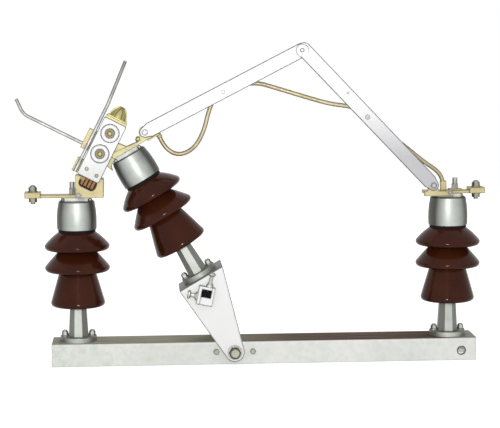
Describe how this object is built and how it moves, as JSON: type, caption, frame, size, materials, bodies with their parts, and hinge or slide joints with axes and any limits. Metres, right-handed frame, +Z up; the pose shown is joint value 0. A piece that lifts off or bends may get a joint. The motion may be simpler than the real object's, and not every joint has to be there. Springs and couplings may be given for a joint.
{
  "type": "substation disconnect switch",
  "caption": "Single-pole outdoor disconnect switch: post insulators on a steel channel, one on a rocking bracket that draws its contact out of a jaw while folding current arms follow.",
  "frame": {"origin": "middle of the base channel's length and width, at its underside", "axes": "+X along the channel towards the hinged terminal, +Y to the back, +Z up"},
  "size_m": [0.8437, 0.1186, 0.5753],
  "materials": {
    "galvanised_steel": "galvanised, matt",
    "porcelain_glaze": "brown glaze, glossy",
    "black_joint": "black bitumen over cement",
    "cap_iron": "grey, satin",
    "plated_steel": "pale plated, satin",
    "brass": "cast brass, satin",
    "white_arm": "pale bare bar, satin",
    "copper_leaf": "copper, dull",
    "bare_cable": "stranded copper, dull",
    "bolt_zinc": "zinc plated"
  },
  "bodies": {
    "base": {"base_channel": "galvanised_steel", "pivot_plates": "galvanised_steel", "pivot_plate_bolts": "bolt_zinc", "pivot_shaft": "bolt_zinc", "left_strap": "brass", "left_terminal_bolt": "bolt_zinc", "left_stud": "bolt_zinc", "right_strap": "brass", "right_terminal_bolt": "bolt_zinc", "right_stud": "bolt_zinc", "contact_saddle": "brass", "jaw_front_plate": "plated_steel", "jaw_back_plate": "plated_steel", "jaw_bolts": "plated_steel", "contact_leaves": "copper_leaf", "jaw_crown": "brass", "long_horn": "plated_steel", "short_horn": "plated_steel", "long_horn_holder": "brass", "short_horn_holder": "brass", "right_pin": "bolt_zinc", "right_lug": "brass", "left_foot": "galvanised_steel", "left_porcelain": "porcelain_glaze", "left_cement": "black_joint", "left_cap": "cap_iron", "left_adaptor": "plated_steel", "right_foot": "galvanised_steel", "right_porcelain": "porcelain_glaze", "right_cement": "black_joint", "right_cap": "cap_iron", "right_adaptor": "plated_steel"},
    "rocker": {"rocker_bracket": "galvanised_steel", "moving_strap": "brass", "moving_contact": "brass", "ear_pin": "bolt_zinc", "rocking_foot": "galvanised_steel", "rocking_porcelain": "porcelain_glaze", "rocking_cement": "black_joint", "rocking_cap": "cap_iron", "rocking_adaptor": "plated_steel"},
    "left_lever": {"left_arm": "white_arm", "cable_left": "bare_cable"},
    "apex": {"apex_pin": "bolt_zinc", "cable_middle": "bare_cable"},
    "right_lever": {"right_arm": "white_arm", "cable_right": "bare_cable"}
  },
  "joints": [
    {"name": "rocker_tilt", "type": "hinge", "parent": "base", "child": "rocker", "pos_m": [-0.0558, 0, 0.0232], "axis": [0, 1, 0], "range_deg": [0, 30]},
    {"name": "left_lever_swing", "type": "hinge", "parent": "rocker", "child": "left_lever", "pos_m": [-0.21211, 0, 0.41793], "axis": [0, -1, 0], "range_deg": [0, 43.77], "deforming": ["cable_left"]},
    {"name": "apex_turn", "type": "hinge", "parent": "left_lever", "child": "apex", "pos_m": [0.0685, 0, 0.5614], "axis": [0, 1, 0], "range_deg": [0, 47.59], "deforming": ["cable_middle"]},
    {"name": "right_lever_swing", "type": "hinge", "parent": "base", "child": "right_lever", "pos_m": [0.3057, 0, 0.3175], "axis": [0, 1, 0], "range_deg": [0, 33.84], "deforming": ["cable_right"]}
  ],
  "couplings": [
    {"joint": "left_lever_swing", "follows": "rocker_tilt", "ratio": 1.4585},
    {"joint": "apex_turn", "follows": "rocker_tilt", "ratio": 1.5861},
    {"joint": "right_lever_swing", "follows": "rocker_tilt", "ratio": 1.1276}
  ]
}
